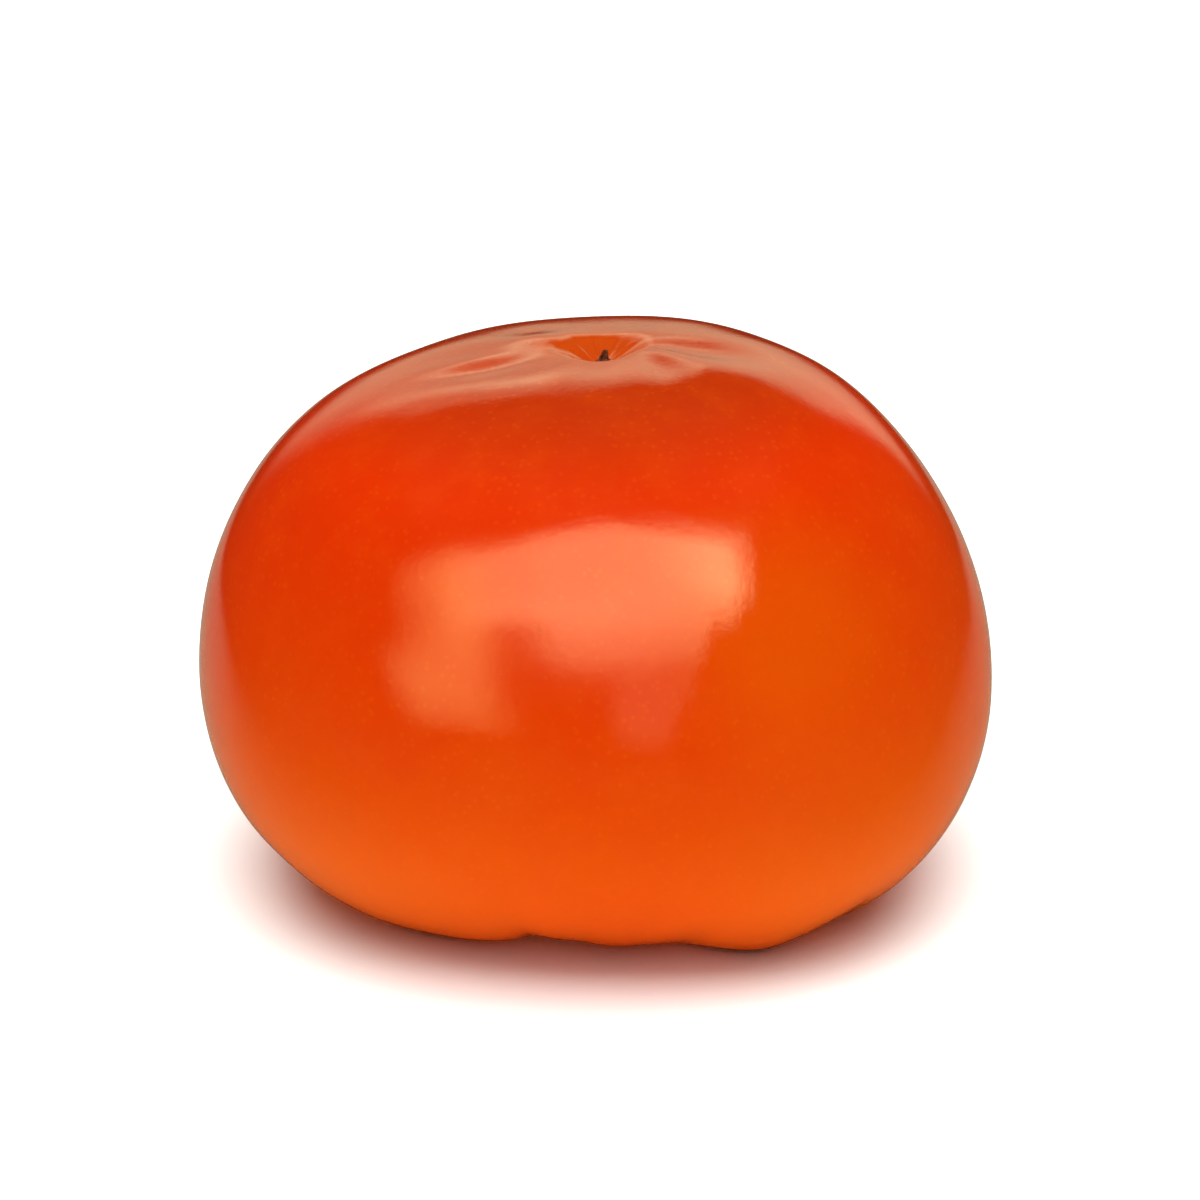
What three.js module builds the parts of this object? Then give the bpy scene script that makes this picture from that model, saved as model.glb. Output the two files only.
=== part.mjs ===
// A ripe squat persimmon, as picked: a four-lobed fruit that stands on its stem end, the leafy calyx in the
// hollow under it, the cut stub of its stalk, and the dry remnant of the style in the dimple on top.
// Millimetres, +Z up, with the origin on the surface that the fruit stands on, under its middle.
import * as THREE from "three";

// Driving dimensions of the fruit
const equatorRadius = 44;
const height = 60.6;
const equatorHeight = 23.7;
const footRadius = 24.7;
const footSink = 0.35;
const dimpleRadius = 6;
const dimpleDepth = 1.8;
const hollowDepth = 8;

// Driving dimensions of the pieces on it
const gap = 0.3;
const sepalShoulderRadius = 18.5;
const sepalNotchRadius = 9.5;
const sepalPoint = 2.8;
const sepalThickness = 0.8;
const discFlatRadius = 4.8;
const discEdgeRadius = 9.6;
const discThickness = 2.4;
const stubRadius = 3.2;
const stubFlare = 1.4;
const stubLength = 3.6;
const remnantRadius = 0.85;
const remnantHeight = 1.3;

// Mesh density
const fruitSides = 96;
const calyxSides = 72;
const stubSides = 20;
const remnantSides = 12;

const degrees = THREE.MathUtils.degToRad;
const smoothstep = THREE.MathUtils.smoothstep;
const bell = (offset, width) => Math.exp(-((offset / width) ** 2));
const turn = (angle) => Math.atan2(Math.sin(angle), Math.cos(angle));

// The half outline, from the middle of the top dimple over the crown and the side to the middle of the hollow
// at the stem end. Each stretch is one cubic curve, with x as the distance from the axis and y as the height.
const curve = (...points) => new THREE.CubicBezierCurve(...points.map(([x, y]) => new THREE.Vector2(x, y)));
const dimpleFloor = height - dimpleDepth;
const dimple = curve([0, dimpleFloor], [2.2, dimpleFloor], [3.8, height], [dimpleRadius, height]);
const crown = curve(
  [dimpleRadius, height],
  [dimpleRadius + 25.2, height],
  [equatorRadius, equatorHeight + 18.9],
  [equatorRadius, equatorHeight],
);
const flank = curve(
  [equatorRadius, equatorHeight],
  [equatorRadius, equatorHeight - 18.7],
  [footRadius + 1.1, 0],
  [footRadius, 0],
);
const hollow = curve([footRadius, 0], [footRadius - 4, 0], [15, hollowDepth], [0, hollowDepth]);

function halfOutline(stretches) {
  const points = [];
  for (const [stretch, steps] of stretches) {
    const firstStep = points.length ? 1 : 0;
    for (let i = firstStep; i <= steps; i++) points.push(stretch.getPoint(i / steps));
  }
  return points;
}

// Height of the hollow's roof at a distance from the axis, found by halving the curve's parameter range.
function roofHeight(radius) {
  let low = 0;
  let high = 1;
  for (let i = 0; i < 30; i++) {
    const middle = (low + high) / 2;
    if (hollow.getPoint(middle).x > radius) low = middle;
    else high = middle;
  }
  return hollow.getPoint(low).y;
}

// What makes the fruit other than round: four lobes with grooves between them, finer ribs at the foot,
// a lean of the crown against the flank, one fuller shoulder, and a faint three-sidedness.
const lobeAzimuth = degrees(-49);
const ribAzimuth = degrees(-46);
const fullShoulderAzimuth = degrees(-49);
const fullShoulderSpread = 0.6;
const threeSidedAzimuth = degrees(33);
const crownTiltAzimuth = degrees(147);
const lobeShareAtCrown = 0.0015;
const lobeShareAtFoot = 0.0165;
const leanShare = 0.006;
const fullShoulderShare = 0.063;
const threeSidedShare = -0.0155;
const grooveRise = 1.75;
const ribRise = 0.75;
const crownTilt = 0.9;
const crownGroove = 0.45;
const crownGrooveUnevenness = 0.25;
const apexShift = [1, -1.1];

// Where those act: the lobes grow below a height and away from the axis, the foot's rise and the crown's tilt
// and grooves each fade away from a ring of their own.
const lobeFadeHeight = equatorHeight + 11;
const roundWithin = 2;
const shapedBeyond = 20;
const footSpread = 13;
const crownTiltRing = 18.5;
const crownTiltSpread = 12.3;
const crownGrooveRing = 12;
const crownGrooveSpread = 9;
const apexShiftSpread = 15;

// Small knobs round the foot, and one narrow cleft in front, each with how far it hangs down.
const footKnobs = [
  { azimuth: degrees(-114), spread: degrees(10), drop: 0.6 },
  { azimuth: degrees(-102), spread: degrees(3), drop: -0.45 },
  { azimuth: degrees(-86), spread: degrees(6), drop: 0.5 },
  { azimuth: degrees(-57), spread: degrees(8), drop: 0.9 },
  { azimuth: degrees(-30), spread: degrees(10), drop: 1.1 },
  { azimuth: degrees(75), spread: degrees(9), drop: 0.5 },
  { azimuth: degrees(160), spread: degrees(10), drop: 0.6 },
];
const footKnobRing = 30;
const footKnobSpread = 6;

function grow(radius, z, azimuth) {
  const lobe = Math.cos(4 * (azimuth - lobeAzimuth));
  const groove = ((1 - lobe) / 2) ** 2;
  const rib = (1 - Math.cos(8 * (azimuth - ribAzimuth))) / 2;
  const low = 1 - smoothstep(z, 0, lobeFadeHeight);
  const away = smoothstep(radius, roundWithin, shapedBeyond);
  const belowEquator = z < equatorHeight;
  const rise = (z - equatorHeight) / (belowEquator ? equatorHeight : height - equatorHeight);

  const swell =
    THREE.MathUtils.lerp(lobeShareAtCrown, lobeShareAtFoot, low) * lobe -
    leanShare * Math.sin(Math.PI * rise) * Math.cos(azimuth) +
    fullShoulderShare * bell(turn(azimuth - fullShoulderAzimuth), fullShoulderSpread) * low +
    threeSidedShare * Math.cos(3 * (azimuth - threeSidedAzimuth));
  const r = radius * (1 + away * swell);

  const foot = bell(radius - footRadius, footSpread) * low;
  const top = belowEquator ? 0 : bell(radius - crownTiltRing, crownTiltSpread);
  const topGroove = belowEquator ? 0 : bell(radius - crownGrooveRing, crownGrooveSpread);
  const knobs = footKnobs
    .map((knob) => knob.drop * bell(turn(azimuth - knob.azimuth), knob.spread))
    .reduce((sum, drop) => sum + drop, 0);
  const knobRing = belowEquator ? bell(radius - footKnobRing, footKnobSpread) : 0;
  const lift =
    (grooveRise * groove + ribRise * rib - footSink) * foot -
    knobs * knobRing -
    crownTilt * top * Math.cos(azimuth - crownTiltAzimuth) -
    (crownGroove + crownGrooveUnevenness * Math.cos(2 * azimuth)) * topGroove * groove;
  const shift = belowEquator ? 0 : bell(radius, apexShiftSpread);
  return new THREE.Vector3(
    r * Math.cos(azimuth) + apexShift[0] * shift,
    r * Math.sin(azimuth) + apexShift[1] * shift,
    Math.max(0, z + lift),
  );
}

// A lathe about Z, each of whose vertices is then moved by shape(distance from the axis, height, azimuth).
function shapedLathe(outline, sides, shape) {
  const geometry = new THREE.LatheGeometry(outline, sides).rotateX(Math.PI / 2);
  const position = geometry.getAttribute("position");
  for (let i = 0; i < position.count; i++) {
    const [x, y, z] = [position.getX(i), position.getY(i), position.getZ(i)];
    const moved = shape(Math.hypot(x, y), z, Math.atan2(y, x));
    position.setXYZ(i, moved.x, moved.y, moved.z);
  }
  geometry.computeVertexNormals();
  return geometry;
}

function fruitGeometry() {
  const outline = halfOutline([
    [dimple, 4],
    [crown, 13],
    [flank, 11],
    [hollow, 8],
  ]);
  return shapedLathe(outline.reverse(), fruitSides, grow);
}

// The calyx: four broad sepals joined in a thick disc. Each lies in the groove between two lobes of the fruit,
// is as wide as a fan with a short point in the middle, and is parted from the next one by a notch.
const sepalAzimuth = lobeAzimuth + degrees(45);
const sepalSteps = 9;
const fanFullness = 0.42;
const pointSpread = 0.35;
const marginCurl = 0.7;
const marginWaves = 7;

function sepalReach(azimuth) {
  const offset = 2 * (azimuth - sepalAzimuth);
  const fan = Math.abs(Math.cos(offset)) ** fanFullness;
  const point = sepalPoint * bell(Math.sin(offset), pointSpread);
  return THREE.MathUtils.lerp(sepalNotchRadius, sepalShoulderRadius, fan) + point;
}

function calyxGeometry() {
  const outerFace = [];
  const innerFace = [];
  for (let i = 0; i <= sepalSteps; i++) {
    outerFace.push(new THREE.Vector2(i / sepalSteps, 0));
    innerFace.push(new THREE.Vector2(i / sepalSteps, 1));
  }
  const outline = [...outerFace, ...innerFace.reverse()];
  return shapedLathe(outline, calyxSides, (share, face, azimuth) => {
    const radius = share * sepalReach(azimuth);
    const roof = grow(radius, roofHeight(radius), azimuth);
    const discShare = 1 - smoothstep(radius, discFlatRadius, discEdgeRadius);
    const thickness = THREE.MathUtils.lerp(sepalThickness, discThickness, discShare);
    const curl = marginCurl * share ** 4 * (1 + Math.sin(4 * marginWaves * azimuth)) * 0.5;
    roof.z -= gap + curl + (face > 0.5 ? 0 : thickness);
    return roof;
  });
}

// The stub of the stalk: a short woody peg, wider where it leaves the disc, with a plain cut end.
const stubTop = hollowDepth - 2 * gap - discThickness;
const stubEnd = stubTop - stubLength;

function stubGeometry() {
  const outline = [
    new THREE.Vector2(0, stubEnd),
    new THREE.Vector2(stubRadius - 0.4, stubEnd),
    new THREE.Vector2(stubRadius, stubEnd + 0.4),
    new THREE.Vector2(stubRadius - 0.1, stubEnd + stubLength * 0.5),
    new THREE.Vector2(stubRadius + stubFlare * 0.4, stubTop - 0.6),
    new THREE.Vector2(stubRadius + stubFlare, stubTop),
    new THREE.Vector2(0, stubTop),
  ];
  return shapedLathe(outline, stubSides, (radius, z, azimuth) => {
    const r = radius * (1 + 0.05 * Math.cos(2 * azimuth) + 0.04 * Math.cos(5 * azimuth));
    return new THREE.Vector3(r * Math.cos(azimuth), r * Math.sin(azimuth), z);
  });
}

// The style's remnant: a withered point with four shallow flutes, on the floor of the top dimple.
function remnantGeometry() {
  const base = dimpleFloor + gap;
  const outline = [
    new THREE.Vector2(0, base),
    new THREE.Vector2(remnantRadius, base + 0.05),
    new THREE.Vector2(remnantRadius * 0.8, base + remnantHeight * 0.45),
    new THREE.Vector2(remnantRadius * 0.45, base + remnantHeight * 0.85),
    new THREE.Vector2(0, base + remnantHeight),
  ];
  return shapedLathe(outline, remnantSides, (radius, z, azimuth) => {
    const r = radius * (1 + 0.15 * Math.cos(4 * azimuth));
    return new THREE.Vector3(r * Math.cos(azimuth) + apexShift[0], r * Math.sin(azimuth) + apexShift[1], z);
  });
}

function piece(name, geometry, color, roughness) {
  const material = new THREE.MeshStandardMaterial({ color, roughness, metalness: 0 });
  const mesh = new THREE.Mesh(geometry, material);
  mesh.name = name;
  return mesh;
}

const persimmon = new THREE.Group();
persimmon.add(
  piece("fruit", fruitGeometry(), 0xe8500f, 0.3),
  piece("calyx", calyxGeometry(), 0x7f7646, 0.8),
  piece("stem_stub", stubGeometry(), 0x6b5236, 0.9),
  piece("style_remnant", remnantGeometry(), 0x2e1a10, 0.85),
);

// The lobes aren't alike, so the whole is set over the origin by the middle of its own box.
const middle = new THREE.Box3().setFromObject(persimmon, true).getCenter(new THREE.Vector3());
persimmon.position.set(-middle.x, -middle.y, 0);

export default persimmon;
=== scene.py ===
# The look of a ripe squat persimmon that stands on its stem end: the waxy fruit, the drying calyx and the cut
# stalk in the hollow under it, and the withered style in the dimple on top. Shapes are worked out in
# millimetres, in the frame of the solids, and each mesh is made in metres.
import math

import bpy
import numpy as np
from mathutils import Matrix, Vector


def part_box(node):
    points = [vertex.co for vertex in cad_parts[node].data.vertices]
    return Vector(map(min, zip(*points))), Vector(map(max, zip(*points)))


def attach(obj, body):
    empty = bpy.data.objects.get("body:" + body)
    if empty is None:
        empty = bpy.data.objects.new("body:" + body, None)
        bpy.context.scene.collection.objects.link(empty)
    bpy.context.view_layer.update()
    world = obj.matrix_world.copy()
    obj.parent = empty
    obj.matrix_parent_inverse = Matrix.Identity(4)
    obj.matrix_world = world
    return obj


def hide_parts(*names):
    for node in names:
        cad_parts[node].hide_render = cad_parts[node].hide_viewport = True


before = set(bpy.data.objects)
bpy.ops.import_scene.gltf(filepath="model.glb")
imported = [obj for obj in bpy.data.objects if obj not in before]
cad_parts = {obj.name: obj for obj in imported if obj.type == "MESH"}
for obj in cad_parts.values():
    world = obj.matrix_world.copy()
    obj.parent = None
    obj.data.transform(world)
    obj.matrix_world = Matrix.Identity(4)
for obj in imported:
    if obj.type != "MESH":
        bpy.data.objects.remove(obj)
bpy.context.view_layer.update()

MM = 0.001

# The fruit's own sizes in millimetres, the same as those of its solid
EQUATOR_RADIUS = 44.0
HEIGHT = 60.6
EQUATOR_HEIGHT = 23.7
FOOT_RADIUS = 24.7
FOOT_SINK = 0.35
DIMPLE_RADIUS = 6.0
DIMPLE_DEPTH = 1.8
HOLLOW_DEPTH = 8.0
DIMPLE_FLOOR = HEIGHT - DIMPLE_DEPTH

# How far each handle of the outline's curves reaches from the end of its curve, in millimetres
DIMPLE_FLOOR_HANDLE = 2.2
DIMPLE_RIM_HANDLE = 2.2
CROWN_HANDLE = 25.2
CROWN_RISE = 18.9
FLANK_DROP = 18.7
FOOT_HANDLE = 1.1
HOLLOW_EDGE_HANDLE = 4
HOLLOW_ROOF_HANDLE = 15

# How the fruit departs from a round one: where its swellings point, how large a share of the radius they
# are, and how far the foot and the crown rise or sink in millimetres
LOBE_AZIMUTH = math.radians(-49)
RIB_AZIMUTH = math.radians(-46)
FULL_SHOULDER_AZIMUTH = math.radians(-49)
FULL_SHOULDER_SPREAD = 0.6
THREE_SIDED_AZIMUTH = math.radians(33)
CROWN_TILT_AZIMUTH = math.radians(147)
LOBE_SHARE_AT_CROWN = 0.0015
LOBE_SHARE_AT_FOOT = 0.0165
LEAN_SHARE = 0.006
FULL_SHOULDER_SHARE = 0.063
THREE_SIDED_SHARE = -0.0155
GROOVE_RISE = 1.75
RIB_RISE = 0.75
CROWN_TILT = 0.9
CROWN_GROOVE = 0.45
CROWN_GROOVE_UNEVENNESS = 0.25
APEX_SHIFT = (1.0, -1.1)

# The heights and radii between which those changes come in, and how far they spread, in millimetres
LOBE_FADE_HEIGHT = EQUATOR_HEIGHT + 11
ROUND_WITHIN = 2.0
SHAPED_BEYOND = 20.0
FOOT_SPREAD = 13.0
CROWN_TILT_RING = 18.5
CROWN_TILT_SPREAD = 12.3
CROWN_GROOVE_RING = 12.0
CROWN_GROOVE_SPREAD = 9.0
APEX_SHIFT_SPREAD = 15.0

# Small knobs round the foot, and one narrow cleft in front: the azimuth and spread of each in degrees, and
# how far it hangs down in millimetres
FOOT_KNOBS = [
    (-114, 10, 0.6),
    (-102, 3, -0.45),
    (-86, 6, 0.5),
    (-57, 8, 0.9),
    (-30, 10, 1.1),
    (75, 9, 0.5),
    (160, 10, 0.6),
]
FOOT_KNOB_RING = 30.0
FOOT_KNOB_SPREAD = 6.0

# How many sides each ring of points has, and how many steps each curve is drawn in
FRUIT_SIDES = 360
CALYX_SIDES = 480
STUB_SIDES = 180
REMNANT_SIDES = 64
DIMPLE_STEPS = 26
CROWN_STEPS = 130
FLANK_STEPS = 72
HOLLOW_STEPS = 44
ROOF_STEPS = 400
STUB_SIDE_STEPS = 34
STUB_BEVEL_STEPS = 8
STUB_CUT_POINTS = 34

SEED = 1507
SWELL_WAVES = 28


# Small mathematics


def smoothstep(value, low, high):
    t = np.clip((value - low) / (high - low), 0, 1)
    return t * t * (3 - 2 * t)


def bell(offset, width):
    """1 where the offset is 0, and falling softly to 0 on both sides."""
    return np.exp(-((offset / width) ** 2))


def turned(angle):
    """The same direction as an angle of at most half a turn either way."""
    return np.arctan2(np.sin(angle), np.cos(angle))


def cubic(start, start_handle, end_handle, end, steps):
    """Points of a smooth curve from start to end, which leaves and arrives along its two handles."""
    t = np.linspace(0, 1, steps + 1)[:, None]
    points = [np.array(point, float) for point in (start, start_handle, end_handle, end)]
    weights = [(1 - t) ** 3, 3 * (1 - t) ** 2 * t, 3 * (1 - t) * t**2, t**3]
    return sum(weight * point for weight, point in zip(weights, points))


def swells(points, wavelength, seed):
    """A smooth random field of about unit height over points in millimetres: a sum of seeded plane waves."""
    rng = np.random.default_rng(SEED + seed)
    directions = rng.normal(size=(SWELL_WAVES, 3))
    directions /= np.linalg.norm(directions, axis=1, keepdims=True)
    lengths = wavelength * rng.uniform(0.75, 1.5, SWELL_WAVES)
    phases = rng.uniform(0, 2 * math.pi, SWELL_WAVES)
    total = np.zeros(points.shape[:-1])
    for direction, length, phase in zip(directions, lengths, phases):
        total += np.cos(points @ direction * (2 * math.pi / length) + phase)
    return total / math.sqrt(SWELL_WAVES)


# The fruit's form


def hollow_curve(steps):
    """The hollow at the stem end, from its edge to its middle, as radius and height."""
    return cubic(
        [FOOT_RADIUS, 0],
        [FOOT_RADIUS - HOLLOW_EDGE_HANDLE, 0],
        [HOLLOW_ROOF_HANDLE, HOLLOW_DEPTH],
        [0, HOLLOW_DEPTH],
        steps,
    )


def half_outline():
    """Radius and height of the plain fruit, from the dimple's middle round to the hollow's middle."""
    rim = [DIMPLE_RADIUS, HEIGHT]
    equator = [EQUATOR_RADIUS, EQUATOR_HEIGHT]
    dimple = cubic(
        [0, DIMPLE_FLOOR],
        [DIMPLE_FLOOR_HANDLE, DIMPLE_FLOOR],
        [DIMPLE_RADIUS - DIMPLE_RIM_HANDLE, HEIGHT],
        rim,
        DIMPLE_STEPS,
    )
    crown = cubic(
        rim,
        [DIMPLE_RADIUS + CROWN_HANDLE, HEIGHT],
        [EQUATOR_RADIUS, EQUATOR_HEIGHT + CROWN_RISE],
        equator,
        CROWN_STEPS,
    )
    flank = cubic(
        equator,
        [EQUATOR_RADIUS, EQUATOR_HEIGHT - FLANK_DROP],
        [FOOT_RADIUS + FOOT_HANDLE, 0],
        [FOOT_RADIUS, 0],
        FLANK_STEPS,
    )
    return np.concatenate([dimple, crown[1:], flank[1:], hollow_curve(HOLLOW_STEPS)[1:]])


def roof_height(radius):
    curve = hollow_curve(ROOF_STEPS)[::-1]
    return np.interp(radius, curve[:, 0], curve[:, 1])


def grow(radius, z, azimuth):
    """Turns a point of the plain lathe into one of the lobed fruit. All three may be arrays."""
    lobe = np.cos(4 * (azimuth - LOBE_AZIMUTH))
    groove = ((1 - lobe) / 2) ** 2
    rib = (1 - np.cos(8 * (azimuth - RIB_AZIMUTH))) / 2
    low = 1 - smoothstep(z, 0, LOBE_FADE_HEIGHT)
    away = smoothstep(radius, ROUND_WITHIN, SHAPED_BEYOND)
    below_equator = z < EQUATOR_HEIGHT
    span = np.where(below_equator, EQUATOR_HEIGHT, HEIGHT - EQUATOR_HEIGHT)
    rise = (z - EQUATOR_HEIGHT) / span

    swell = (
        (LOBE_SHARE_AT_CROWN + (LOBE_SHARE_AT_FOOT - LOBE_SHARE_AT_CROWN) * low) * lobe
        - LEAN_SHARE * np.sin(math.pi * rise) * np.cos(azimuth)
        + FULL_SHOULDER_SHARE * bell(turned(azimuth - FULL_SHOULDER_AZIMUTH), FULL_SHOULDER_SPREAD) * low
        + THREE_SIDED_SHARE * np.cos(3 * (azimuth - THREE_SIDED_AZIMUTH))
    )
    r = radius * (1 + away * swell)

    foot = bell(radius - FOOT_RADIUS, FOOT_SPREAD) * low
    top = np.where(below_equator, 0, bell(radius - CROWN_TILT_RING, CROWN_TILT_SPREAD))
    top_groove = np.where(below_equator, 0, bell(radius - CROWN_GROOVE_RING, CROWN_GROOVE_SPREAD))
    knobs = 0
    for at, spread, drop in FOOT_KNOBS:
        knobs = knobs + drop * bell(turned(azimuth - math.radians(at)), math.radians(spread))
    knob_ring = np.where(below_equator, bell(radius - FOOT_KNOB_RING, FOOT_KNOB_SPREAD), 0)
    lift = (
        (GROOVE_RISE * groove + RIB_RISE * rib - FOOT_SINK) * foot
        - knobs * knob_ring
        - CROWN_TILT * top * np.cos(azimuth - CROWN_TILT_AZIMUTH)
        - (CROWN_GROOVE + CROWN_GROOVE_UNEVENNESS * np.cos(2 * azimuth)) * top_groove * groove
    )
    shift = np.where(below_equator, 0, bell(radius, APEX_SHIFT_SPREAD))
    x = r * np.cos(azimuth) + APEX_SHIFT[0] * shift
    y = r * np.sin(azimuth) + APEX_SHIFT[1] * shift
    return np.stack([x, y, np.maximum(0, z + lift)], axis=-1)


def ring(sides):
    return np.linspace(0, 2 * math.pi, sides, endpoint=False)[None, :]


def spread_out(outline, sides):
    """The radius, height and azimuth of every point of a lathe, from the radius and height of its outline."""
    return np.broadcast_arrays(outline[:, :1], outline[:, 1:], ring(sides))


def grid_normals(points):
    """The outward direction at each point of rows that run downward."""
    along = np.gradient(points, axis=0)
    around = np.roll(points, -1, axis=1) - np.roll(points, 1, axis=1)
    normals = np.cross(along, around)
    lengths = np.linalg.norm(normals, axis=-1, keepdims=True)
    return normals / np.maximum(lengths, 1e-9)


def lathe_mesh(name, rows, cap_start, cap_end, shift):
    """A closed mesh from rows of points around the axis, whose faces look outward when the rows run downward.
    cap_start and cap_end are the single points that close it. All of them are moved by shift."""
    count, sides = rows.shape[:2]
    points = np.concatenate([rows.reshape(-1, 3), [cap_start], [cap_end]]) + shift
    faces = []
    for i in range(count - 1):
        for j in range(sides):
            k = (j + 1) % sides
            faces.append((i * sides + j, (i + 1) * sides + j, (i + 1) * sides + k, i * sides + k))
    start = count * sides
    for j in range(sides):
        k = (j + 1) % sides
        faces.append((start, j, k))
        faces.append((start + 1, (count - 1) * sides + k, (count - 1) * sides + j))
    mesh = bpy.data.meshes.new(name)
    mesh.from_pydata((points * MM).tolist(), [], faces)
    mesh.validate()
    mesh.update()
    mesh.polygons.foreach_set("use_smooth", [True] * len(mesh.polygons))
    piece = bpy.data.objects.new(name, mesh)
    bpy.context.scene.collection.objects.link(piece)
    return piece


# The skin's relief: heights, depths, wavelengths, radii and spreads in millimetres
UNEVENNESS = 0.14
UNEVEN_WAVELENGTH = 24
FINE_UNEVENNESS = 0.02
FINE_WAVELENGTH = 10
CROWN_FLUTES = 9
FLUTE_HEIGHT = 0.025
FLUTE_TURN = 3.84
FLUTE_RING = 15
FLUTE_SPREAD = 9
CROWN_SPREAD = 17
CREASE_DEPTH = 0.1
CREASE_RING = 2.6
CREASE_SPREAD = 1.9

# Furrows of the foot: how high their middle is and how far they spread up and down, in millimetres, and then
# the azimuth and spread of each in degrees and its depth in millimetres
FOOT_FOLD_HEIGHT = 4
FOOT_FOLD_SPREAD = 5
FOOT_FOLDS = [
    (-150, 5, 0.2),
    (-104, 3, 0.15),
    (-72, 4, 0.35),
    (-43, 4, 0.25),
    (-5, 5, 0.2),
    (40, 5, 0.25),
    (100, 4, 0.2),
    (140, 5, 0.25),
]

# Folds beside the dimple: the middle's x and y, half the length, and the height, in millimetres, and then how
# wide the step between the sunk and the raised side is, and how far both spread
PINCHES = [(-10.8, -2.8, 6.5, 0.72), (7.5, -7.2, 2.2, 0.3)]
PINCH_STEP = 2
PINCH_SPREAD = 6.5

# How the rim of the dimple is drawn out: to its corners, as a share of the radius, and to the back
DIMPLE_CORNERS = 0.1
DIMPLE_CORNER_AZIMUTH = math.radians(30)
DIMPLE_DRAW = 1.5
DIMPLE_RIM_SPREAD = 4


def skin_relief(points, radius, z, azimuth):
    """Height of the skin over the plain form, in millimetres."""
    slow = UNEVENNESS * swells(points, UNEVEN_WAVELENGTH, 1)
    fine = FINE_UNEVENNESS * swells(points, FINE_WAVELENGTH, 2)
    uneven = -slow - fine
    above_equator = z > EQUATOR_HEIGHT
    crown = np.where(above_equator, bell(radius, CROWN_SPREAD), 0)
    waver = 1.3 * np.sin(2 * azimuth)
    around = np.cos(CROWN_FLUTES * azimuth + waver + FLUTE_TURN)
    flutes = FLUTE_HEIGHT * around * bell(radius - FLUTE_RING, FLUTE_SPREAD)
    in_dimple = np.where(above_equator, bell(radius - CREASE_RING, CREASE_SPREAD), 0)
    sharp = np.abs(np.cos(5.5 * azimuth + 0.5 * np.sin(3 * azimuth))) ** 6
    creases = -CREASE_DEPTH * sharp * in_dimple
    on_floor = smoothstep(z, 0.2, 3.0)
    flank = uneven * smoothstep(radius, 1.5, 9) + flutes * crown + foot_folds(z, azimuth)
    return flank * on_floor + creases + pinches(points, z)


def foot_folds(z, azimuth):
    """Shallow furrows that run up the foot of the fruit."""
    height = np.where(z < EQUATOR_HEIGHT, bell(z - FOOT_FOLD_HEIGHT, FOOT_FOLD_SPREAD), 0)
    depth = 0
    for at, spread, deep in FOOT_FOLDS:
        depth = depth + deep * bell(turned(azimuth - math.radians(at)), math.radians(spread))
    return -depth * height


def pinches(points, z):
    """Short soft folds of the skin beside the dimple, sunk in front and raised behind."""
    total = 0
    for x, y, half_length, height in PINCHES:
        along = bell(points[..., 0] - x, half_length)
        across = points[..., 1] - y
        total = total + height * along * np.tanh(across / PINCH_STEP) * bell(across, PINCH_SPREAD)
    return np.where(z > EQUATOR_HEIGHT, total, 0)


def widen_dimple(points, radius, z, azimuth):
    """Draws the rim of the dimple out behind the style and toward its two far corners."""
    rim = np.where(z > EQUATOR_HEIGHT, bell(radius - DIMPLE_RADIUS, DIMPLE_RIM_SPREAD), 0)
    corners = DIMPLE_CORNERS * radius * np.cos(3 * (azimuth - DIMPLE_CORNER_AZIMUTH)) * rim
    step_x = corners * np.cos(azimuth)
    step_y = corners * np.sin(azimuth) + DIMPLE_DRAW * rim
    return points + np.stack([step_x, step_y, 0 * rim], axis=-1)


def make_fruit():
    outline = half_outline()[1:-1]
    radius, z, azimuth = spread_out(outline, FRUIT_SIDES)
    plain = grow(radius, z, azimuth)
    low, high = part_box("fruit")
    rows = plain.reshape(-1, 3)
    shift = plan_middle(low, high) / MM - plan_middle(rows.min(axis=0), rows.max(axis=0))
    relief = skin_relief(plain + shift, radius, z, azimuth)
    points = plain + grid_normals(plain) * relief[..., None]
    points = widen_dimple(points, radius, z, azimuth)
    points[..., 2] = np.maximum(points[..., 2], 0)
    apex = grow(np.array(0.0), np.array(DIMPLE_FLOOR), np.array(0.0))
    roof = grow(np.array(0.0), np.array(HOLLOW_DEPTH), np.array(0.0))
    return lathe_mesh("persimmon_skin", points, apex, roof, shift), shift


def plan_middle(low, high):
    """The middle of a box as seen from above, at height 0."""
    return np.array([(low[0] + high[0]) / 2, (low[1] + high[1]) / 2, 0])


fruit, SHIFT = make_fruit()
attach(fruit, "root")
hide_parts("fruit")


# The calyx: lengths in millimetres, counts of waves and veins, and shares of the way from the middle to the
# margin. It hangs a small gap under the fruit.

GAP = 0.3
SEPAL_AZIMUTH = LOBE_AZIMUTH + math.radians(45)
SEPAL_SHOULDER_RADIUS = 18.5
SEPAL_NOTCH_RADIUS = 9.5
SEPAL_POINT = 2.8
SEPAL_THICKNESS = 0.8
DISC_FLAT_RADIUS = 4.8
DISC_EDGE_RADIUS = 9.6
DISC_THICKNESS = 2.4
FAN_FULLNESS = 0.42
POINT_SPREAD = 0.35
MARGIN_CURL = 0.7
MARGIN_WAVES = 28
MARGIN_RIPPLE = 0.35
MARGIN_THINNING = 0.55
MIDDLE_VEIN = 0.22
MIDDLE_VEIN_SPREAD = 0.5
SIDE_VEIN = 0.09
SIDE_VEINS = 26
WRINKLE = 0.05
WRINKLE_WAVELENGTH = 2.2
DISC_RIDGE = 0.35
DISC_RIDGE_RING = 7.2
DISC_RIDGE_SPREAD = 1.1
CALYX_LOWEST = 0.35
CALYX_SHARES = np.linspace(0.02, 1, 46)[:, None]


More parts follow.
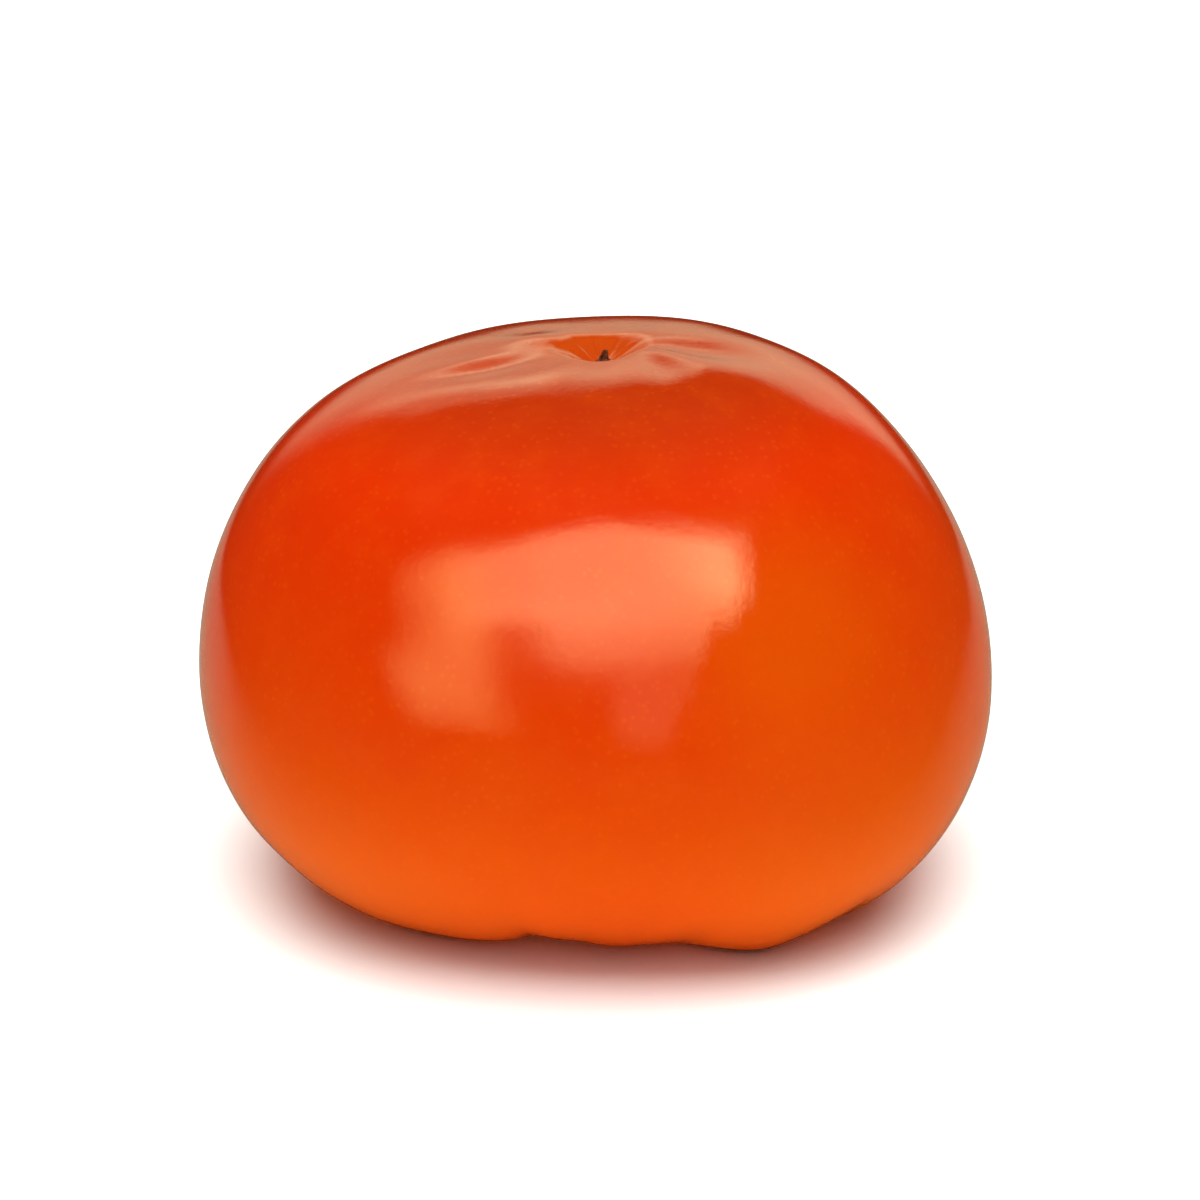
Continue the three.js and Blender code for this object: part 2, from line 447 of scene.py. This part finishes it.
def sepal_reach(azimuth):
    offset = 2 * (azimuth - SEPAL_AZIMUTH)
    fan = np.abs(np.cos(offset)) ** FAN_FULLNESS
    point = SEPAL_POINT * bell(np.sin(offset), POINT_SPREAD)
    return SEPAL_NOTCH_RADIUS + (SEPAL_SHOULDER_RADIUS - SEPAL_NOTCH_RADIUS) * fan + point


def calyx_side(share, azimuth, inner):
    """The rows of the calyx's inner side, toward the fruit, or of its outer one, which has the veins."""
    nibbles = 0.012 * np.sin(31 * azimuth + 2 * np.sin(5 * azimuth)) + 0.01 * np.sin(57 * azimuth + 1)
    radius = share * sepal_reach(azimuth) * (1 + nibbles * share**6)
    points = grow(radius, roof_height(radius), azimuth)
    curl = MARGIN_CURL * share**4 * (1 + np.sin(MARGIN_WAVES * azimuth)) * 0.5
    curl = curl + MARGIN_RIPPLE * share**3 * np.sin(11 * azimuth + 1.7) ** 2
    height = GAP + curl
    if not inner:
        disc = 1 - smoothstep(radius, DISC_FLAT_RADIUS, DISC_EDGE_RADIUS)
        margin = 1 - MARGIN_THINNING * smoothstep(share, 0.82, 1.0)
        thickness = (SEPAL_THICKNESS + (DISC_THICKNESS - SEPAL_THICKNESS) * disc) * margin
        across = turned(4 * (azimuth - SEPAL_AZIMUTH)) / 4
        middle_vein = MIDDLE_VEIN * bell(across * radius, MIDDLE_VEIN_SPREAD) * (1 - share)
        side_veins = SIDE_VEIN * np.cos(SIDE_VEINS * across * (1 + 0.25 * share)) ** 2
        side_veins = side_veins * smoothstep(share, 0.3, 0.55)
        wrinkle = WRINKLE * swells(points, WRINKLE_WAVELENGTH, 11)
        ridge = DISC_RIDGE * bell(radius - DISC_RIDGE_RING, DISC_RIDGE_SPREAD)
        relief = middle_vein + side_veins + wrinkle + ridge
        height = height + thickness + relief * smoothstep(1 - share, 0.0, 0.08)
    points[..., 2] -= height
    return points


def make_calyx():
    azimuth = ring(CALYX_SIDES)
    toward_fruit = calyx_side(CALYX_SHARES, azimuth, True)
    outer = calyx_side(CALYX_SHARES[::-1], azimuth, False)
    rows = np.concatenate([toward_fruit, outer])
    rows[..., 2] = np.maximum(rows[..., 2], CALYX_LOWEST)
    top = rows[0].mean(axis=0)
    bottom = rows[-1].mean(axis=0)
    return lathe_mesh("calyx_sepals", rows, top, bottom, SHIFT)


calyx = make_calyx()
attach(calyx, "root")
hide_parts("calyx")


# The stub of the stalk, in millimetres, with a fluted bark and a cut end that is not quite level

STUB_RADIUS = 3.2
STUB_FLARE = 1.4
STUB_LENGTH = 3.6
STUB_BEVEL = 0.35
STUB_TOP = HOLLOW_DEPTH - 2 * GAP - DISC_THICKNESS
STUB_END = STUB_TOP - STUB_LENGTH
BARK_DEPTH = 0.045
RING_HEIGHT = 0.015
RING_SPACING = 0.62
GRAIN_HEIGHT = 0.06
PITH_HEIGHT = 0.3
CUT_SLANT = 0.05
CUT_RISE = 0.1


def make_stub():
    side = cubic(
        [STUB_RADIUS + STUB_FLARE, STUB_TOP],
        [STUB_RADIUS + 0.3, STUB_TOP - 0.4],
        [STUB_RADIUS - 0.2, STUB_END + 1.6],
        [STUB_RADIUS, STUB_END + STUB_BEVEL],
        STUB_SIDE_STEPS,
    )
    bevel = cubic(
        side[-1],
        [STUB_RADIUS, STUB_END + 0.1],
        [STUB_RADIUS - 0.1, STUB_END],
        [STUB_RADIUS - STUB_BEVEL, STUB_END],
        STUB_BEVEL_STEPS,
    )
    cut_radius = np.linspace(STUB_RADIUS - STUB_BEVEL, 0.1, STUB_CUT_POINTS)
    cut = np.stack([cut_radius, np.full(STUB_CUT_POINTS, STUB_END)], axis=1)
    outline = np.concatenate([side, bevel[1:], cut[1:]])
    radius, z, azimuth = spread_out(outline, STUB_SIDES)
    r = radius * (1 + 0.05 * np.cos(2 * azimuth) + 0.04 * np.cos(5 * azimuth))
    points = np.stack([r * np.cos(azimuth), r * np.sin(azimuth), z], axis=-1)
    bark = np.abs(np.sin(11 * azimuth + 0.9 * np.sin(z * 2.1) + np.sin(3 * azimuth)))
    on_side = smoothstep(z, STUB_END + 0.05, STUB_END + 0.5)
    points[..., :2] *= (1 - BARK_DEPTH * bark * on_side)[..., None]
    on_cut = 1 - on_side
    rings = RING_HEIGHT * np.cos(2 * math.pi * radius / RING_SPACING) + GRAIN_HEIGHT * swells(points, 0.8, 21)
    pith = PITH_HEIGHT * bell(radius, 0.55)
    slant = CUT_SLANT * points[..., 0]
    points[..., 2] += (rings * smoothstep(radius, 0.2, 0.8) + pith + slant + CUT_RISE) * on_cut
    top = np.array([0, 0, STUB_TOP])
    end = np.array([0, 0, points[-1, :, 2].mean()])
    return lathe_mesh("stalk_stub", points, top, end, SHIFT)


stub = make_stub()
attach(stub, "root")
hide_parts("stem_stub")


# The style's remnant: a small swollen base whose four withered points lean together

REMNANT_RADIUS = 0.85
REMNANT_HEIGHT = 1.3
REMNANT_SUNK = 0.15
REMNANT_TWIST = 0.9
REMNANT_LEAN = 0.35
REMNANT_NOTCH = 0.18


def make_remnant():
    base = DIMPLE_FLOOR - REMNANT_SUNK
    top = DIMPLE_FLOOR + GAP + REMNANT_HEIGHT
    neck = [0.42, top - 0.7]
    swelling = [REMNANT_RADIUS, base + 0.4]
    tip = cubic([0.03, top], [0.3, top - 0.02], [0.35, top - 0.35], neck, 12)
    bulb = cubic(neck, [0.5, top - 1.0], [REMNANT_RADIUS, base + 0.7], swelling, 12)
    under = cubic(swelling, [REMNANT_RADIUS, base + 0.2], [0.8, base], [0.55, base], 8)
    outline = np.concatenate([tip, bulb[1:], under[1:]])
    radius, z, azimuth = spread_out(outline, REMNANT_SIDES)
    rise = (z - base) / (top - base)
    flutes = 1 + (0.15 + 0.3 * rise) * np.cos(4 * azimuth) + 0.06 * np.cos(11 * azimuth + 8 * rise)
    twist = azimuth + REMNANT_TWIST * rise
    r = radius * flutes
    lean = REMNANT_LEAN * rise**2
    x = r * np.cos(twist) + lean + APEX_SHIFT[0]
    y = r * np.sin(twist) - 0.4 * lean + APEX_SHIFT[1]
    notch = REMNANT_NOTCH * smoothstep(rise, 0.75, 1.0) * np.cos(4 * azimuth)
    points = np.stack([x, y, z + notch], axis=-1)
    cap_top = points[0].mean(axis=0)
    cap_base = points[-1].mean(axis=0)
    return lathe_mesh("style_tip", points, cap_top, cap_base, SHIFT)


remnant = make_remnant()
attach(remnant, "root")
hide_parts("style_remnant")


# Materials


class Nodes:
    """The node tree of a material, a light or the world, with short calls for the nodes used here."""

    def __init__(self, owner, shader):
        owner.use_nodes = True
        self.tree = owner.node_tree
        self.shader = self.tree.nodes[shader]

    def add(self, kind, **settings):
        node = self.tree.nodes.new(kind)
        for key, value in settings.items():
            setattr(node, key, value)
        return node

    def feed(self, socket, value):
        if isinstance(value, bpy.types.NodeSocket):
            self.tree.links.new(value, socket)
        else:
            socket.default_value = value

    def place(self):
        return self.add("ShaderNodeTexCoord").outputs["Object"]

    def scaled(self, vector, scale):
        node = self.add("ShaderNodeMapping")
        self.feed(node.inputs["Vector"], vector)
        node.inputs["Scale"].default_value = scale
        return node.outputs["Vector"]

    def noise(self, vector, scale, detail=3.0, roughness=0.5):
        node = self.add("ShaderNodeTexNoise")
        self.feed(node.inputs["Vector"], vector)
        node.inputs["Scale"].default_value = scale
        node.inputs["Detail"].default_value = detail
        node.inputs["Roughness"].default_value = roughness
        return node.outputs["Fac"]

    def cells(self, vector, scale):
        node = self.add("ShaderNodeTexVoronoi")
        self.feed(node.inputs["Vector"], vector)
        node.inputs["Scale"].default_value = scale
        return node.outputs["Distance"]

    def math(self, operation, first, second=0.0):
        node = self.add("ShaderNodeMath", operation=operation)
        self.feed(node.inputs[0], first)
        self.feed(node.inputs[1], second)
        return node.outputs["Value"]

    def stretch(self, value, from_low, from_high, to_low=0.0, to_high=1.0):
        node = self.add("ShaderNodeMapRange", interpolation_type="SMOOTHSTEP")
        self.feed(node.inputs["Value"], value)
        node.inputs["From Min"].default_value = from_low
        node.inputs["From Max"].default_value = from_high
        node.inputs["To Min"].default_value = to_low
        node.inputs["To Max"].default_value = to_high
        return node.outputs["Result"]

    def mix(self, share, first, second):
        node = self.add("ShaderNodeMix", data_type="RGBA")
        self.feed(node.inputs["Factor"], share)
        self.feed(node.inputs[6], first)
        self.feed(node.inputs[7], second)
        return node.outputs[2]

    def split(self, vector):
        node = self.add("ShaderNodeSeparateXYZ")
        self.feed(node.inputs["Vector"], vector)
        return node.outputs["X"], node.outputs["Y"], node.outputs["Z"]

    def from_axis(self, x, y):
        return self.math("SQRT", self.math("ADD", self.math("MULTIPLY", x, x), self.math("MULTIPLY", y, y)))

    def distance(self, place, middle):
        node = self.add("ShaderNodeVectorMath", operation="DISTANCE")
        self.feed(node.inputs[0], place)
        node.inputs[1].default_value = middle
        return node.outputs["Value"]

    def bump(self, height, distance, strength, under=None):
        node = self.add("ShaderNodeBump")
        self.feed(node.inputs["Height"], height)
        node.inputs["Distance"].default_value = distance
        node.inputs["Strength"].default_value = strength
        if under is not None:
            self.feed(node.inputs["Normal"], under)
        return node.outputs["Normal"]


def new_material(name):
    material = bpy.data.materials.new(name)
    return material, Nodes(material, "Principled BSDF")


def colour(red, green, blue):
    """A colour given as it looks on screen, 0 to 255, as the shader's linear numbers."""
    channels = []
    for value in (red, green, blue):
        share = value / 255
        channels.append(share / 12.92 if share <= 0.04045 else ((share + 0.055) / 1.055) ** 2.4)
    return (*channels, 1.0)


# The middle of a more orange patch on the right of the front, in metres
ORANGE_PATCH = (0.02, -0.034, 0.039)


def skin_material():
    material, n = new_material("persimmon_skin")
    at = n.place()
    x, y, z = n.split(at)

    # From yellower at the right and the foot to redder at the left and the crown. The paler foot is partly
    # painted sheen and the darker crown partly painted shade.
    slope = n.math("ADD", n.math("MULTIPLY", x, -2.5), n.math("MULTIPLY", z, 17.0))
    patches = n.noise(at, 38, 2.0)
    redness = n.math("ADD", slope, n.math("MULTIPLY", patches, 0.7))
    skin = n.mix(n.stretch(redness, 0.3, 1.35), colour(213, 74, 2), colour(209, 46, 1))
    flush = n.stretch(n.distance(at, ORANGE_PATCH), 0.003, 0.018, 0.55, 0.0)
    skin = n.mix(flush, skin, colour(216, 84, 2))
    # Paler and yellower low down, most at the left and right sides: partly yellower skin near the stem end,
    # partly a painted sheen and painted floor bounce on the lower flanks
    side = n.stretch(n.math("ABSOLUTE", x), 0.0, 0.04, 0.15, 1.0)
    foot = n.math("MULTIPLY", n.stretch(z, 0.006, 0.036, 0.7, 0.0), side)
    skin = n.mix(foot, skin, colour(216, 98, 16))
    # A darker, redder crown: partly the riper skin of the top, partly painted shade that dims the top more
    # than the lights do
    crown = n.stretch(n.math("ADD", z, n.math("MULTIPLY", x, -0.03)), 0.052, 0.0612)
    skin = n.mix(crown, skin, colour(171, 46, 5))

    # Fine dots and a faint cloudiness of the wax
    dots = n.cells(at, 950)
    dot = n.stretch(dots, 0.12, 0.34, 1.0, 0.0)
    dot_share = n.math("MULTIPLY", dot, n.stretch(n.noise(at, 120, 2.0), 0.3, 0.7, 0.04, 0.2))
    skin = n.mix(dot_share, skin, colour(222, 92, 14))
    cloud = n.stretch(n.noise(at, 220, 4.0, 0.6), 0.4, 0.75, 0.0, 0.12)
    skin = n.mix(cloud, skin, colour(224, 84, 8))

    # Yellower in the dimple, paler and greener in the hollow at the stem end
    middle = n.from_axis(x, y)
    dimple = n.math("MULTIPLY", n.stretch(middle, 0.003, 0.008, 1.0, 0.0), crown)
    skin = n.mix(dimple, skin, colour(186, 66, 8))
    near_axis = n.stretch(middle, 0.012, 0.027, 1.0, 0.0)
    hollow = n.math("MULTIPLY", near_axis, n.stretch(z, 0.006, 0.014, 1.0, 0.0))
    skin = n.mix(hollow, skin, colour(226, 150, 52))

    n.feed(n.shader.inputs["Base Color"], skin)
    n.feed(n.shader.inputs["Roughness"], n.stretch(n.noise(at, 160, 3.0), 0.3, 0.7, 0.065, 0.1))
    n.shader.inputs["IOR"].default_value = 1.42
    n.shader.inputs["Specular Tint"].default_value = (1.0, 0.8, 0.6, 1.0)
    n.shader.inputs["Subsurface Weight"].default_value = 0.15
    n.shader.inputs["Subsurface Radius"].default_value = (1.0, 0.3, 0.08)
    n.shader.inputs["Subsurface Scale"].default_value = 0.003
    pores = n.bump(n.noise(at, 1500, 3.0, 0.6), 0.00004, 0.35)
    waves = n.bump(n.noise(at, 260, 2.0), 0.0001, 0.3, pores)
    n.feed(n.shader.inputs["Normal"], waves)
    return material


def calyx_material():
    material, n = new_material("calyx_leaf")
    at = n.place()
    x, y = n.split(at)[:2]
    middle = n.from_axis(x, y)
    patches = n.noise(at, 180, 4.0, 0.6)
    leaf = n.mix(n.stretch(patches, 0.35, 0.65), colour(112, 116, 66), colour(146, 128, 78))
    dryness = n.math("ADD", middle, n.math("MULTIPLY", n.noise(at, 320, 3.0), 0.009))
    leaf = n.mix(n.stretch(dryness, 0.0185, 0.0235), leaf, colour(84, 56, 34))
    spots = n.stretch(n.cells(at, 520), 0.1, 0.3, 0.6, 0.0)
    leaf = n.mix(spots, leaf, colour(70, 50, 32))
    disc = n.stretch(middle, 0.005, 0.009, 1.0, 0.0)
    leaf = n.mix(disc, leaf, colour(120, 98, 60))
    n.feed(n.shader.inputs["Base Color"], leaf)
    n.feed(n.shader.inputs["Roughness"], n.stretch(patches, 0.3, 0.7, 0.62, 0.82))
    fibres = n.bump(n.noise(at, 900, 5.0, 0.7), 0.0002, 0.6)
    n.feed(n.shader.inputs["Normal"], fibres)
    return material


def stalk_material():
    material, n = new_material("stalk_bark")
    at = n.place()
    x, y, z = n.split(at)
    grain = n.noise(n.scaled(at, (1.0, 1.0, 0.25)), 1400, 4.0, 0.6)
    bark = n.mix(n.stretch(grain, 0.35, 0.65), colour(70, 50, 34), colour(128, 98, 66))
    middle = n.from_axis(x, y)
    rings = n.math("SINE", n.math("MULTIPLY", middle, 10500.0))
    wood = n.mix(n.stretch(rings, -1.0, 1.0), colour(156, 124, 82), colour(176, 145, 100))
    wood = n.mix(n.stretch(grain, 0.3, 0.8, 0.0, 0.5), wood, colour(110, 80, 50))
    cut = n.stretch(z, (STUB_END + 0.2) * MM, (STUB_END + 0.6) * MM, 1.0, 0.0)
    n.feed(n.shader.inputs["Base Color"], n.mix(cut, bark, wood))
    n.feed(n.shader.inputs["Roughness"], n.stretch(grain, 0.3, 0.7, 0.75, 0.92))
    n.feed(n.shader.inputs["Normal"], n.bump(grain, 0.0002, 0.7))
    return material


def remnant_material():
    material, n = new_material("style_dry")
    at = n.place()
    z = n.split(at)[2]
    grain = n.noise(at, 2600, 4.0, 0.6)
    dry = n.mix(n.stretch(grain, 0.35, 0.65), colour(58, 26, 10), colour(118, 56, 22))
    foot = n.stretch(z, DIMPLE_FLOOR * MM, (DIMPLE_FLOOR + 0.7) * MM, 0.8, 0.0)
    n.feed(n.shader.inputs["Base Color"], n.mix(foot, dry, colour(150, 62, 18)))
    n.feed(n.shader.inputs["Roughness"], n.stretch(grain, 0.3, 0.7, 0.7, 0.9))
    n.shader.inputs["Specular IOR Level"].default_value = 0.2
    n.feed(n.shader.inputs["Normal"], n.bump(grain, 0.0001, 0.6))
    return material


fruit.data.materials.append(skin_material())
calyx.data.materials.append(calyx_material())
stub.data.materials.append(stalk_material())
remnant.data.materials.append(remnant_material())


# The stage: a plain pale floor, soft light, and the camera


# The floor in metres. Its colours are as linear shares of the light: as the camera sees it, as it lights the
# fruit, and as the skin mirrors it, close to the fruit and farther out
FLOOR_HALF = 0.6
MIRRORED_FLOOR_MIDDLE = 0.12
MIRRORED_FLOOR_EDGE = (0.13, 0.2)
SEEN_FLOOR = (0.95, 0.92, 0.89, 1.0)
LIGHTING_FLOOR = (0.9, 0.86, 0.78, 1.0)
MIRRORED_FLOOR_NEAR = (0.2, 0.17, 0.12, 1.0)
MIRRORED_FLOOR_FAR = (0.01, 0.008, 0.005, 1.0)

SEEN_WORLD = (1.0, 1.0, 1.0, 1.0)
LIGHTING_WORLD = (0.02, 0.018, 0.015, 1.0)


def make_floor():
    mesh = bpy.data.meshes.new("floor")
    half = FLOOR_HALF
    corners = [(-half, -half, 0), (half, -half, 0), (half, half, 0), (-half, half, 0)]
    mesh.from_pydata(corners, [], [(0, 1, 2, 3)])
    floor = bpy.data.objects.new("floor", mesh)
    bpy.context.scene.collection.objects.link(floor)
    material, n = new_material("floor_white")
    path = n.add("ShaderNodeLightPath")
    x, y = n.split(n.place())[:2]
    from_middle = n.from_axis(x, n.math("SUBTRACT", y, MIRRORED_FLOOR_MIDDLE))
    beyond = n.stretch(from_middle, *MIRRORED_FLOOR_EDGE)
    mirrored = n.mix(beyond, MIRRORED_FLOOR_NEAR, MIRRORED_FLOOR_FAR)
    pale = n.mix(path.outputs["Is Glossy Ray"], LIGHTING_FLOOR, mirrored)
    pale = n.mix(path.outputs["Is Camera Ray"], pale, SEEN_FLOOR)
    n.feed(n.shader.inputs["Base Color"], pale)
    n.shader.inputs["Roughness"].default_value = 0.9
    n.shader.inputs["Specular IOR Level"].default_value = 0.0
    mesh.materials.append(material)
    return floor


def soft_light(name, place, toward, size, radiance, tint, mirrored, receivers):
    """An area light whose radiance is the same however large it is. It never shows in the picture itself.
    A mirrored one only shows in reflections, and any other only lights things. Nothing but its receivers,
    a list of objects, is lit by it."""
    lamp = bpy.data.lights.new(name, "AREA")
    lamp.shape = "RECTANGLE"
    lamp.size, lamp.size_y = size
    lamp.energy = radiance * math.pi * size[0] * size[1]
    lamp.color = tint
    light = bpy.data.objects.new(name, lamp)
    light.location = place
    light.rotation_euler = (Vector(toward) - Vector(place)).to_track_quat("-Z", "Y").to_euler()
    light.visible_camera = False
    light.visible_glossy = mirrored
    light.visible_diffuse = not mirrored
    lit = bpy.data.collections.new(name + "_lights")
    for target in receivers:
        lit.objects.link(target)
    light.light_linking.receiver_collection = lit
    bpy.context.scene.collection.objects.link(light)
    return light


def soft_patches(light, patches):
    """Shades a light's face as a sum of soft-edged rectangles, each given as the lists below say."""
    n = Nodes(light.data, "Emission")
    place = n.add("ShaderNodeNewGeometry").outputs["Position"]
    x, y, z = n.split(place)
    total = 0.0
    for strength, left, right, lower, upper in patches:
        across = n.math("MULTIPLY", n.stretch(x, *left), n.stretch(x, *right, 1.0, 0.0))
        upward = n.math("MULTIPLY", n.stretch(z, *lower), n.stretch(z, *upper, 1.0, 0.0))
        patch = n.math("MULTIPLY", n.math("MULTIPLY", across, upward), strength)
        total = n.math("ADD", total, patch)
    n.feed(n.shader.inputs["Strength"], total)


WHITE = (1.0, 1.0, 1.0)
COOL = (0.9, 1.0, 1.0)
GLOW = (1.0, 0.75, 0.5)
WARM = (1.0, 0.84, 0.53)
WARMER = (1.0, 0.84, 0.34)
PALE = (0.79, 0.9, 0.56)

# Soft-edged patches of the lights that the skin mirrors. Each is its strength and then its left, right, lower
# and upper edge, as the two places in X or in Z, in metres, that the edge runs between.
WINDOW_PATCHES = [
    (0.76, (-0.95, -0.1), (0.66, 0.8), (0.6, 0.8), (1.08, 1.24)),
    (0.5, (0.1, 0.7), (0.81, 0.89), (0.72, 0.92), (1.2, 1.36)),
    (0.48, (-0.4, -0.05), (0.52, 0.6), (0.4, 0.62), (0.64, 0.8)),
    (0.15, (0.1, 0.3), (0.52, 0.6), (-0.1, 0.25), (0.4, 0.62)),
    (0.1, (-0.9, -0.5), (0.1, 0.5), (0.2, 0.7), (0.7, 0.95)),
]
LEFT_PATCHES = [
    (0.52, (-1.4, -0.7), (-0.75, -0.25), (0.4, 0.8), (1.0, 1.36)),
    (0.45, (-1.85, -1.1), (-0.75, -0.4), (-0.2, 0.4), (0.4, 0.8)),
]
PANEL_PATCHES = [
    (0.55, (-0.8, -0.25), (0.58, 0.85), (-0.02, 0.12), (0.52, 0.78)),
    (0.62, (-0.6, -0.42), (-0.16, -0.04), (0.3, 0.6), (0.9, 1.06)),
    (0.8, (-0.3, -0.1), (0.08, 0.16), (0.35, 0.6), (0.72, 0.92)),
    (0.35, (-0.1, 0.3), (0.6, 0.78), (0.1, 0.28), (0.42, 0.75)),
]
WINDOW_SIZE = (3.6, 2.0)
WINDOW_RADIANCE = 11.5


def make_lights(floor, pieces):
    # What lights the fruit, and apart from it what lights the floor
    middle = (0, 0, 0.04)
    ground = (0, 0, 0)
    soft_light("front_fill", (0, -1.2, 0.2), middle, (3.6, 0.18), 3.0, WHITE, False, pieces)
    soft_light("overhead", (0, 0.1, 1.6), ground, (2.2, 2.8), 3.3, WHITE, False, pieces)
    soft_light("floor_overhead", (0, 0, 1.6), ground, (2.6, 2.6), 2.7, COOL, False, [floor])
    soft_light("floor_wash", (0, -1.3, 1.2), (0, -1.3, 0), (1.3, 3.8), 2.4, COOL, False, [floor])

    # A faint glow from the floor right under the fruit
    soft_light("floor_glow", (0, 0, 0.0005), (0, 0, 1), (0.1, 0.1), 0.17, GLOW, False, pieces)

    # What the skin mirrors: a tall window in front and a panel behind. The window's left part stands a little
    # behind the rest, because a mirror shows only one of two lights in one plane.
    window_place = (-0.4, -0.87, 0.7)
    left_place = (-0.4, -0.88, 0.71)
    toward = (-0.4, -0.151, 0.005)
    window = soft_light(
        "front_window", window_place, toward, WINDOW_SIZE, WINDOW_RADIANCE, WARM, True, pieces
    )
    soft_patches(window, WINDOW_PATCHES)
    left = soft_light("left_window", left_place, toward, WINDOW_SIZE, WINDOW_RADIANCE, WARMER, True, pieces)
    soft_patches(left, LEFT_PATCHES)
    panel = soft_light("back_panel", (0, 1.2, 0.5), (0, 0, 0.5), (2.0, 1.2), 1.2, PALE, True, pieces)
    soft_patches(panel, PANEL_PATCHES)


def make_world():
    world = bpy.data.worlds.new("studio")
    n = Nodes(world, "Background")
    path = n.add("ShaderNodeLightPath")
    shade = n.mix(path.outputs["Is Camera Ray"], LIGHTING_WORLD, SEEN_WORLD)
    n.feed(n.shader.inputs["Color"], shade)
    bpy.context.scene.world = world


CAMERA_ELEVATION = math.radians(21)
CAMERA_DISTANCE = 0.528
CAMERA_FOCUS_HEIGHT = 0.0264
CAMERA_AIM = (0.00059, 0.00148, 0.03027)
LENS_PER_SENSOR = 3.943


def make_camera():
    camera = bpy.data.cameras.new("camera")
    camera.sensor_width = 36.0
    camera.lens = camera.sensor_width * LENS_PER_SENSOR
    camera.clip_start = 0.01
    viewer = bpy.data.objects.new("camera", camera)
    viewer.location = (
        0,
        -CAMERA_DISTANCE * math.cos(CAMERA_ELEVATION),
        CAMERA_FOCUS_HEIGHT + CAMERA_DISTANCE * math.sin(CAMERA_ELEVATION),
    )
    viewer.rotation_euler = (Vector(CAMERA_AIM) - viewer.location).to_track_quat("-Z", "Y").to_euler()
    bpy.context.scene.collection.objects.link(viewer)
    bpy.context.scene.camera = viewer


make_lights(make_floor(), [fruit, calyx, stub, remnant])
make_world()
make_camera()
bpy.context.scene.view_settings.view_transform = "Standard"
